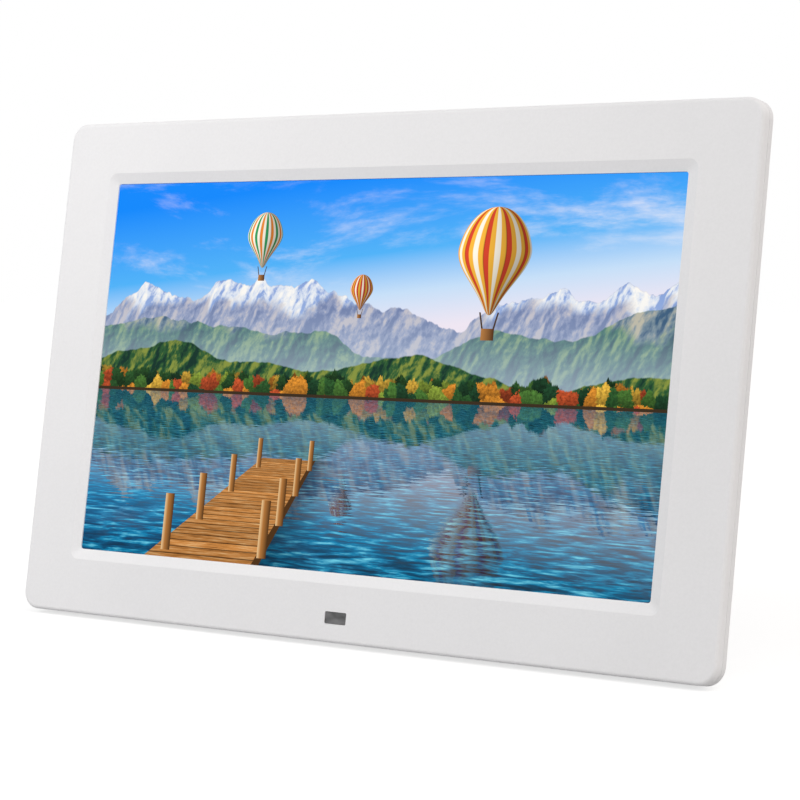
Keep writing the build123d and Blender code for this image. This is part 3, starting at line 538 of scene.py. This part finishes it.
def picture_jetty(node, x, y, side, away, eye, colours):
    """Jetty of the generic picture: planks that run out over the lake, between posts."""
    layers = []
    # Its sides, end, beam, planks and posts on the lake's own grid, where the eye is 1 above the water.
    left, right, end, beam_half, planks_per_step = -1.34, -0.6, 8.2, 0.025, 6.5
    post_rows, post_height, post_radius = (7.9, 6.2, 4.95, 4.05), 0.26, 0.034
    out = node("Math.LESS_THAN", (away, end))
    # Its shade lies on the water at its right.
    shade = node("MapRange", (side, right, right + 0.42, 0.75, 0.0))
    shade = node("Math.MULTIPLY", (shade, node("Math.GREATER_THAN", (side, right))))
    layers.append((node("Math.MULTIPLY", (shade, out)), dim(colours.water_deep, 0.35)))
    planks = node("Math.MULTIPLY", (away, planks_per_step))
    number = node("Math.FLOOR", (planks,))
    within = node("Math.FRACT", (planks,))
    grain = node("CombineXYZ", (node("Math.MULTIPLY", (side, 5.0)),
                                node("Math.MULTIPLY", (planks, 4.0)), number))
    grain = node("TexNoise", {"Vector": grain, "Scale": 1.0, "Detail": 6.0, "Roughness": 0.65})
    wood = node("ValToRGB", {"Fac": grain}, stops=[
        (0.3, dim(colours.deck, 0.35)), (0.5, colours.deck), (0.7, "#F0C48A")])
    worn = node("TexWhiteNoise", {"W": number}, noise_dimensions="1D")
    worn = node("MapRange", (worn.outputs["Value"], 0.0, 1.0, 0.6, 1.05))
    seam = node("MapRange", (within, 0.06, 0.2, 0.12, 1.0))
    wood = node("VectorMath.SCALE", {0: wood, "Scale": node("Math.MULTIPLY", (worn, seam))})
    deck = node("Math.COMPARE", (side, (left + right) / 2, (right - left) / 2))
    layers.append((node("Math.MULTIPLY", (deck, out)), wood))
    beam = node("Math.COMPARE", (side, right + beam_half, beam_half))
    layers.append((node("Math.MULTIPLY", (beam, out)), dim(colours.deck, 0.12)))
    for near in post_rows:
        for edge in (left, right):
            middle, foot = 0.5 + edge / near, eye - 1 / near
            high, half = post_height / near, post_radius / near
            across = node("Math.COMPARE", (x, middle, half))
            upward = node("Math.COMPARE", (y, foot + 0.35 * high, 0.65 * high))
            turn = node("MapRange", (x, middle - half, middle + half))
            timber = node("ValToRGB", {"Fac": turn}, stops=[
                (0.0, "#EBC793"), (0.35, dim(colours.deck, 0.7)), (1.0, dim(colours.deck, 0.1))])
            layers.append((node("Math.MULTIPLY", (across, upward)), timber))
    return layers


class PHOTOFRAME_OT_display_film(bpy.types.Operator):
    """Add the polarising film, which carries a generic lit picture"""
    bl_idname = "photoframe.display_film"
    bl_label = "Display film"

    def execute(self, context):
        sizes = context.scene.photoframe_sizes
        rise = sum(reach("lcd_glass", RISE)) / 2
        back = reach("lcd_glass", DEPTH)[0] - sizes.film_gap
        begin()
        bpy.ops.mesh.primitive_plane_add(size=1, location=spot(0, back, rise), rotation=FACING_FRONT)
        bpy.context.object.scale = (sizes.film_width, sizes.film_height, 1)
        bpy.ops.object.transform_apply()
        thicken(-sizes.film_thickness * DEPTH)
        bpy.ops.mesh.bevel(offset=sizes.film_thickness / 4, segments=1, affect="EDGES")
        settle("display_film", "case", self.picture(context, rise))
        return {"FINISHED"}

    def picture(self, context, rise):
        """Film with a lit picture of generic design: a jetty and balloons at a lake in autumn."""
        sizes = context.scene.photoframe_sizes
        colours = context.scene.photoframe_colours
        wide, tall = sizes.picture_width, sizes.picture_height
        shore, eye = 0.25, 0.28
        # Polarising film with an anti-glare coat: black and matt, lit from behind by the picture.
        material, tree, shader, place = start_material("Polariser anti-glare lit film")
        node = functools.partial(add, tree)

        # The picture's own grid: picture widths, counted from its lower left corner.
        corner = spot(-wide / 2, 0, rise - sizes.film_height / 2)
        grid = node("Mapping", {"Vector": place, "Location": corner, "Rotation": FACING_FRONT,
                                "Scale": [wide] * 3}, vector_type="TEXTURE")
        axes = node("SeparateXYZ", (grid,)).outputs
        x, y = axes["X"], axes["Y"]

        # The lake's perspective, with ripples that grow wider nearer by.
        fall = node("Math.MAXIMUM", (node("Math.SUBTRACT", (eye, y)), 0.01))
        away = node("Math.DIVIDE", (1.0, fall))
        side = node("Math.MULTIPLY", (node("Math.SUBTRACT", (x, 0.5)), away))
        waves = node("CombineXYZ", (node("Math.MULTIPLY", (side, 4.0)),
                                    node("Math.MULTIPLY", (away, 11.0))))
        ripple = node("TexNoise", {"Vector": waves, "Scale": 1.0, "Detail": 5.0, "Roughness": 0.6,
                                   "Distortion": 0.3})

        # Below the shore the scene is mirrored, and the ripples break it up.
        deep = node("Math.SUBTRACT", (shore, y))
        sway = node("MapRange", (deep, 0.0, shore, 0.0, 0.16))
        sway = node("Math.MULTIPLY", (node("Math.SUBTRACT", (ripple, 0.5)), sway))
        mirror = node("Math.ABSOLUTE", (node("Math.ADD", (deep, sway)),))
        mirror = node("Math.ADD", (mirror, shore))
        across = node("Math.MULTIPLY_ADD", (sway, 0.4, x))
        layers = picture_sky(node, across, mirror, colours)
        layers += picture_mountains(node, across, mirror)
        layers += picture_trees(node, across, mirror, shore)
        for middle, radius, cloth in (
            ((0.705, 0.445), 0.062, ("#D8432B", "#F6B73C", "#FBF3E2")),
            ((0.30, 0.475), 0.034, ("#F08A2C", "#FBF3E2", "#2F9A5B")),
            ((0.485, 0.40), 0.021, ("#E2B036", "#C8402E", "#F6EAD2")),
        ):
            layers += picture_balloon(node, across, mirror, middle, radius, cloth)

        body = node("ValToRGB", {"Fac": ripple}, stops=[
            (0.36, colours.water_deep), (0.47, "#044A6A"),
            (0.56, colours.water_light), (0.68, "#6ECDE0")])
        share = node("MapRange", (deep, 0.0, shore, 0.42, 0.97))
        share = node("Math.MULTIPLY", (share, node("Math.GREATER_THAN", (deep, 0.0))))
        layers.append((share, body))
        layers.append((node("Math.COMPARE", (deep, 0.0, 0.0022)), linear("#3A2C1C")))
        layers += picture_jetty(node, x, y, side, away, eye, colours)
        # The panel's black border shows above the lit rows; left along the top alone, it is also
        # painted shade under the bezel's lip.
        layers.append((node("Math.GREATER_THAN", (y, tall / wide)), linear("#050608")))

        picture = layers[0][1]
        for mask, tone in layers[1:]:
            picture = node("Mix", {"Factor": mask, "A": picture, "B": tone}, data_type="RGBA")
        feed(tree, shader, Roughness=0.38, Base_Color=linear("#030304"), Emission_Color=picture,
             Emission_Strength=1.0, Specular_IOR_Level=0.03)
        return material


class PHOTOFRAME_OT_boards(bpy.types.Operator):
    """Paint the circuit boards"""
    bl_idname = "photoframe.boards"
    bl_label = "Circuit boards"

    def execute(self, context):
        # Glass-epoxy laminate under green solder mask: raised tracks in rows 1.8 mm apart, a quarter of
        # the pattern's 7.2 mm, and tinned round pads 3.4 mm apart.
        board, tree, shader, place = start_material("Solder-mask glass epoxy")
        fine = add(tree, "Mapping", {"Vector": place, "Scale": per(7.2)})
        tracks = add(tree, "TexBrick", {
            "Vector": fine, "Scale": 1.0, "Mortar Size": 0.06, "Brick Width": 3.0, "Row Height": 0.25,
            "Color1": linear("#0E4A2C"), "Color2": linear("#0B4026"), "Mortar": linear("#1C7043")})
        dots = add(tree, "Mapping", {"Vector": place, "Scale": per(3.4)})
        cells = add(tree, "TexVoronoi", {"Vector": dots, "Scale": 1.0, "Randomness": 0.8})
        pads = add(tree, "Math.LESS_THAN", (cells, 0.16))
        tone = add(tree, "Mix", {"Factor": pads, "A": tracks.outputs["Color"], "B": linear("#C9C4B4")},
                   data_type="RGBA")
        bump = add(tree, "Bump", {"Height": tracks.outputs["Fac"], "Strength": 0.5,
                                  "Distance": 0.03 * MM})
        feed(tree, shader, Base_Color=tone, Metallic=pads, Roughness=0.34, Normal=bump, IOR=1.55)
        paint(board, "main_board", "key_board", "ir_board")
        return {"FINISHED"}


class PHOTOFRAME_OT_board_parts(bpy.types.Operator):
    """Paint the parts that are soldered to the main board"""
    bl_idname = "photoframe.board_parts"
    bl_label = "Board parts"

    def execute(self, context):
        # Transfer-moulded epoxy: black, dull, finely pitted.
        grained("Epoxy moulded chip black", ("#17171A", "#232326"), ["processor", "memory_chips"],
                grain=0.22, rough=(0.55, 0.72), relief=0.01, ior=1.55, drift=5.0)
        # Sintered ferrite: dark grey, gritty.
        grained("Ferrite sintered grey", ("#2A2829", "#3C393A"), ["power_coils"],
                grain=0.4, rough=(0.60, 0.80), relief=0.03, ior=1.7, drift=3.0)
        # Drawn aluminium cans: pale metal with drawing lines.
        grained("Aluminium drawn can", ("#C2C4C6", "#DADCDE"), ["capacitors"],
                grain=0.3, rough=(0.24, 0.40), relief=0.005, metallic=1.0,
                stretch=(1, 1, 0.2), drift=3.0)
        # Nickel-plated steel: warm bright metal, lightly scuffed.
        grained("Nickel-plated cell steel", ("#B9B4AA", "#D2CEC6"), ["coin_cell", "clock_crystal"],
                grain=0.5, rough=(0.16, 0.34), relief=0.004, metallic=1.0, drift=6.0)
        # Nylon plug housings: ivory, slightly translucent looking.
        grained("Nylon ivory housing", ("#E4DFCF", "#F0ECDF"), ["plug_sockets"],
                grain=0.5, rough=(0.38, 0.50), relief=0.008, ior=1.53, drift=3.0)
        # PBT cell holder: black satin.
        grained("PBT black holder", ("#161617", "#232325"), ["coin_cell_holder"],
                grain=0.5, rough=(0.36, 0.50), relief=0.01, ior=1.55, drift=4.0)
        return {"FINISHED"}


class PHOTOFRAME_OT_sockets(bpy.types.Operator):
    """Paint the sockets and the power slide switch"""
    bl_idname = "photoframe.sockets"
    bl_label = "Sockets and slide switch"

    def execute(self, context):
        # Stamped, nickel-plated shells: bright with faint stamping lines.
        grained("Nickel-plated stamped shell", ("#B4B3B0", "#D0CFCC"), ["usb_socket", "card_socket"],
                grain=0.35, rough=(0.20, 0.36), relief=0.005, metallic=1.0,
                stretch=(0.15, 1, 1), drift=5.0)
        # Glass-filled PBT: black with a fine flow grain.
        grained("PBT glass-filled black", ("#131314", "#212123"),
                ["phones_jack", "power_inlet", "slide_switch_body", "slide_switch_knob"],
                grain=0.4, rough=(0.40, 0.56), relief=0.012, ior=1.55, drift=3.0)
        # LCP tongue: off-white, dull.
        grained("LCP white tongue", ("#DAD8D0", "#E8E6DF"), ["usb_tongue"],
                grain=0.4, rough=(0.46, 0.60), relief=0.008, ior=1.6, drift=3.0)
        return {"FINISHED"}


class PHOTOFRAME_OT_speakers(bpy.types.Operator):
    """Paint the two loudspeakers"""
    bl_idname = "photoframe.speakers"
    bl_label = "Loudspeakers"

    def execute(self, context):
        # Black e-coated steel baskets: dull, slightly orange-peeled.
        grained("E-coated steel black", ("#141415", "#1F1F21"), ["speaker_frames"],
                grain=0.9, rough=(0.44, 0.58), relief=0.01, drift=6.0)
        # Pressed paper cones: charcoal, fibrous.
        grained("Pressed paper cone", ("#1B1A19", "#312F2C"), ["speaker_cones"],
                grain=0.5, rough=(0.80, 0.95), relief=0.05, ior=1.45, stretch=(1, 1, 0.3), drift=3.0)
        # Nickel-plated magnet caps.
        grained("Nickel-plated magnet", ("#AFAEAB", "#CBCAC8"), ["speaker_magnets"],
                grain=0.6, rough=(0.20, 0.36), relief=0.004, metallic=1.0, drift=4.0)
        return {"FINISHED"}


class PHOTOFRAME_OT_leads(bpy.types.Operator):
    """Paint the flat and round leads"""
    bl_idname = "photoframe.leads"
    bl_label = "Leads"

    def execute(self, context):
        # Polyimide film over copper: amber, with conductors 0.6 mm apart, which is where the wave
        # repeats. The key ribbon is polyester film: white.
        for name, node, gap, line in (("Polyimide amber flex", "panel_flex", "#A8661F", "#7C4515"),
                                      ("Polyester white ribbon", "key_ribbon", "#E9E8E2", "#BFC2C4")):
            material, tree, shader, place = start_material(name)
            grid = add(tree, "Mapping", {"Vector": place, "Scale": per(2.0, (1, 0, 0))})
            wave = add(tree, "TexWave", {"Vector": grid, "Scale": 1.0})
            tone = add(tree, "ValToRGB", {"Fac": wave}, stops=[(0.45, gap), (0.60, line)])
            bump = add(tree, "Bump", {"Height": wave, "Strength": 0.5, "Distance": 0.03 * MM})
            feed(tree, shader, Base_Color=tone, Roughness=0.32, Normal=bump, IOR=1.6)
            paint(material, node)
        # PVC-covered leads: black, slightly greasy sheen.
        grained("PVC black lead", ("#141414", "#212122"),
                ["left_speaker_lead", "right_speaker_lead", "ir_lead"],
                grain=0.6, rough=(0.34, 0.48), relief=0.01, ior=1.53, drift=8.0)
        return {"FINISHED"}


class PHOTOFRAME_OT_fasteners(bpy.types.Operator):
    """Paint the screws"""
    bl_idname = "photoframe.fasteners"
    bl_label = "Screws"

    def execute(self, context):
        # Zinc-plated steel: cool bright grey, clouded by the passivation.
        grained("Zinc-plated screw steel", ("#9B9EA3", "#BDC0C4"),
                ["case_screws", "panel_tab_screws", "board_screws"],
                grain=0.4, rough=(0.26, 0.42), relief=0.006, metallic=1.0, drift=1.5)
        return {"FINISHED"}


def draw_bar(across, up, width, height, turn=0.0):
    """Bar of a printed mark."""
    bpy.ops.mesh.primitive_plane_add(size=1, location=(across, up, 0), rotation=(0, 0, turn))
    bpy.context.object.scale = (width, height, 1)


def draw_arrow(across, up, radius, turn):
    """Arrow head of a printed mark; it points up before it is turned."""
    bpy.ops.mesh.primitive_circle_add(vertices=3, radius=radius, fill_type="NGON",
                                      location=(across, up, 0), rotation=(0, 0, turn))


def draw_ring(across, up, radius, stroke, lowest=None):
    """Ring of a printed mark, or the part of it above a height."""
    bpy.ops.mesh.primitive_circle_add(vertices=40, radius=radius, fill_type="NGON",
                                      location=(across, up, 0))
    bpy.ops.object.mode_set(mode="EDIT")
    bpy.ops.mesh.select_all(action="SELECT")
    bpy.ops.mesh.inset(thickness=stroke)
    bpy.ops.mesh.delete(type="FACE")
    if lowest is not None:
        bpy.ops.mesh.select_all(action="SELECT")
        bpy.ops.mesh.bisect(plane_co=(0, lowest, 0), plane_no=(0, -1, 0), clear_outer=True)
    bpy.ops.object.mode_set(mode="OBJECT")


def print_marks(context, name, origin):
    """Joins the marks drawn flat, gives the ink its thickness and lays them on the back."""
    drawn = [o for o in context.scene.objects if o.name.split(".")[0] in ("Plane", "Circle")]
    begin()
    for mark in drawn:
        mark.select_set(True)
    context.view_layer.objects.active = drawn[0]
    bpy.ops.object.transform_apply()
    bpy.ops.object.join()
    thicken((0, 0, context.scene.photoframe_sizes.mark_thickness))
    bpy.ops.object.mode_set(mode="OBJECT")
    context.object.location = origin
    context.object.rotation_euler = FACING_BACK
    # Pad-printed ink: flat grey, a little uneven, as it lies thinly on the grain.
    if "Pad-printed grey ink" not in bpy.data.materials:
        grey = context.scene.photoframe_colours.ink
        grained("Pad-printed grey ink", (dim(grey, 0.82), grey), [],
                grain=0.6, rough=(0.55, 0.68), relief=0.004, drift=3.0)
    settle(name, "case", bpy.data.materials["Pad-printed grey ink"])


class PHOTOFRAME_OT_key_marks(bpy.types.Operator):
    """Add the printed marks under the keys"""
    bl_idname = "photoframe.key_marks"
    bl_label = "Key marks"

    def execute(self, context):
        sizes = context.scene.photoframe_sizes
        stroke, size = sizes.mark_stroke, sizes.key_mark_size
        right_angle = math.pi / 2
        begin()
        places = {}
        for name in KEY_NAMES:
            low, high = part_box("key_" + name)
            places[name] = -(low.x + high.x) / 2
        for step in (-2, 0, 2):
            draw_bar(places["menu"], step * stroke, 2 * size, stroke)
        turns = {"up": 0, "left": -right_angle, "right": right_angle, "down": 2 * right_angle}
        for name, turn in turns.items():
            draw_arrow(places[name], 0, size, turn)
        draw_arrow(places["play"] - 0.5 * size, 0, size, -right_angle)
        for step in (0.75, 1.35):
            draw_bar(places["play"] + step * size, 0, stroke, 1.7 * size)
        for turn in (-right_angle / 2, right_angle / 2):
            draw_bar(places["exit"], 0, 2.2 * size, stroke, turn)
        row = sum(reach("key_play", RISE)) / 2 - sizes.mark_drop
        print_marks(context, "key_marks", spot(0, reach("rear_cover", DEPTH)[1], row))
        return {"FINISHED"}


class PHOTOFRAME_OT_socket_marks(bpy.types.Operator):
    """Add the printed marks beside the sockets and the slide switch"""
    bl_idname = "photoframe.socket_marks"
    bl_label = "Socket marks"

    def execute(self, context):
        sizes = context.scene.photoframe_sizes
        stroke, size = sizes.mark_stroke, sizes.socket_mark_size
        begin()
        heights = {}
        for name in ("power_inlet", "phones_jack", "card_socket", "slide_switch_body"):
            heights[name] = sum(reach(name, RISE)) / 2
        # Direct current: one line over three dashes.
        up = heights["power_inlet"]
        draw_bar(0, up + stroke, 2.1 * size, stroke)
        for step in (-0.75, 0, 0.75):
            draw_bar(step * size, up - stroke, 0.55 * size, stroke)
        # Headphones: a band and two ear pads.
        up = heights["phones_jack"]
        draw_ring(0, up - 0.2 * size, size, stroke, up)
        for side in (-0.85, 0.85):
            draw_bar(side * size, up - 0.35 * size, 0.45 * size, 0.95 * size)
        # Memory card: a plate with its contacts.
        up = heights["card_socket"]
        for side in (-0.75, 0.75):
            draw_bar(side * size, up, stroke, 2.0 * size + stroke)
        for side in (-1.0, 1.0):
            draw_bar(0, up + side * size, 1.5 * size - 1.1 * stroke, stroke)
        for side in (-0.35, 0, 0.35):
            draw_bar(side * size, up + 0.45 * size, 0.16 * size, 0.5 * size)
        # Power: a line inside a ring.
        up = heights["slide_switch_body"]
        draw_ring(0, up, size, stroke)
        draw_bar(0, up, stroke, 0.95 * size)
        edge = max(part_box("power_inlet")[1].x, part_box("phones_jack")[1].x)
        origin = spot(edge - sizes.socket_mark_inset, reach("rear_cover", DEPTH)[1], 0)
        print_marks(context, "socket_marks", origin)
        return {"FINISHED"}


def seen_rays(tree):
    """1 for the rays by which a thing is seen: from the camera, in a gloss or through glass."""
    path = add(tree, "LightPath").outputs
    seen = add(tree, "Math.MAXIMUM", (path["Is Camera Ray"], path["Is Glossy Ray"]))
    return add(tree, "Math.MAXIMUM", (seen, path["Is Transmission Ray"]))


class PHOTOFRAME_OT_stage(bpy.types.Operator):
    """Set up the floor, the light and the camera"""
    bl_idname = "photoframe.stage"
    bl_label = "Stage"

    def execute(self, context):
        stage = context.scene.photoframe_stage
        context.scene.view_settings.view_transform = "Standard"
        self.lay_floor(context, stage)
        self.light_room(context, stage)
        self.hang_key_light(context, stage)
        self.place_camera(context, stage)
        return {"FINISHED"}

    def lay_floor(self, context, stage):
        """Floor that keeps the shadow and reads white where it is seen."""
        begin()
        bpy.ops.mesh.primitive_plane_add(size=stage.floor_side, location=(0, 0, 0))
        floor = context.object
        floor.name = "studio_floor"
        # Matt white paper, without any gloss.
        material, tree, shader, _ = start_material("Matt white paper")
        glow = add(tree, "Math.MULTIPLY", (seen_rays(tree), stage.floor_lift))
        feed(tree, shader, Base_Color=linear("#B8B8B8"), Roughness=0.9, Specular_IOR_Level=0.0,
             Emission_Color=linear("#FFFFFF"), Emission_Strength=glow)
        floor.data.materials.append(material)

    def light_room(self, context, stage):
        """Soft light from overhead, a little warmer on the right, plain white where it is seen."""
        world = bpy.data.worlds.new("Studio")
        world.use_nodes = True
        context.scene.world = world
        tree = world.node_tree
        seen = seen_rays(tree)
        sphere = add(tree, "TexCoord").outputs["Generated"]
        way = add(tree, "SeparateXYZ", (sphere,)).outputs
        level = add(tree, "MapRange", (way["Z"], 0.0, 1.0, stage.room_light, stage.ceiling_light))
        # A dark card on the left and high up draws the top and left edges.
        card = add(tree, "VectorMath.DOT_PRODUCT", (sphere, stage.card_way))
        card = add(tree, "MapRange", (card, 0.0, 0.8, 1.0, stage.card_light))
        level = add(tree, "Math.MULTIPLY", (level, card))
        level = add(tree, "Mix", {"Factor": seen, "A": level, "B": 1.0})
        tone = add(tree, "ValToRGB", {"Fac": way["X"]}, stops=[(0.0, "#FFFFFF"), (1.0, "#FFF7F0")])
        tone = add(tree, "Mix", {"Factor": seen, "A": tone, "B": linear("#FFFFFF")}, data_type="RGBA")
        feed(tree, tree.nodes["Background"], Color=tone, Strength=level)

    def hang_key_light(self, context, stage):
        """Large soft light from the upper left in front."""
        begin()
        bpy.ops.object.light_add(type="AREA", location=stage.key_place)
        key = context.object
        key.name = "key_light"
        key.data.energy = stage.key_power
        key.data.size = stage.key_size
        key.rotation_euler = (Vector(stage.key_aim) - key.location).to_track_quat("-Z", "Y").to_euler()

    def place_camera(self, context, stage):
        """Camera at the photographed three-quarter view."""
        begin()
        bpy.ops.object.camera_add(location=stage.camera_place)
        camera = context.object
        camera.rotation_euler = Vector(stage.camera_aim).to_track_quat("-Z", "Y").to_euler()
        camera.data.lens = stage.camera_lens
        camera.data.sensor_width = stage.camera_sensor
        context.scene.camera = camera


STEPS = (
    PHOTOFRAME_OT_case,
    PHOTOFRAME_OT_stand,
    PHOTOFRAME_OT_keys,
    PHOTOFRAME_OT_infrared_eye,
    PHOTOFRAME_OT_display_panel,
    PHOTOFRAME_OT_display_film,
    PHOTOFRAME_OT_boards,
    PHOTOFRAME_OT_board_parts,
    PHOTOFRAME_OT_sockets,
    PHOTOFRAME_OT_speakers,
    PHOTOFRAME_OT_leads,
    PHOTOFRAME_OT_fasteners,
    PHOTOFRAME_OT_key_marks,
    PHOTOFRAME_OT_socket_marks,
    PHOTOFRAME_OT_stage,
)


class PHOTOFRAME_PT_panel(bpy.types.Panel):
    """List of the steps that dress the photo frame"""
    bl_idname = "PHOTOFRAME_PT_panel"
    bl_label = "Photo Frame"
    bl_space_type = "VIEW_3D"
    bl_region_type = "UI"
    bl_category = "Photo Frame"

    def draw(self, context):
        for step in STEPS:
            self.layout.operator(step.bl_idname)


GROUPS = {
    "photoframe_sizes": PHOTOFRAME_PG_sizes,
    "photoframe_colours": PHOTOFRAME_PG_colours,
    "photoframe_stage": PHOTOFRAME_PG_stage,
}


def register():
    """Registers the classes and puts the settings on the scene."""
    for cls in (*GROUPS.values(), *STEPS, PHOTOFRAME_PT_panel):
        bpy.utils.register_class(cls)
    for name, group in GROUPS.items():
        setattr(bpy.types.Scene, name, bpy.props.PointerProperty(type=group))


def unregister():
    """Takes the settings off the scene and the classes out."""
    for name in GROUPS:
        delattr(bpy.types.Scene, name)
    for cls in (PHOTOFRAME_PT_panel, *reversed(STEPS), *GROUPS.values()):
        bpy.utils.unregister_class(cls)


def main():
    """Runs every step."""
    register()
    for step in STEPS:
        family, name = step.bl_idname.split(".")
        getattr(getattr(bpy.ops, family), name)()


if __name__ == "__main__":
    main()
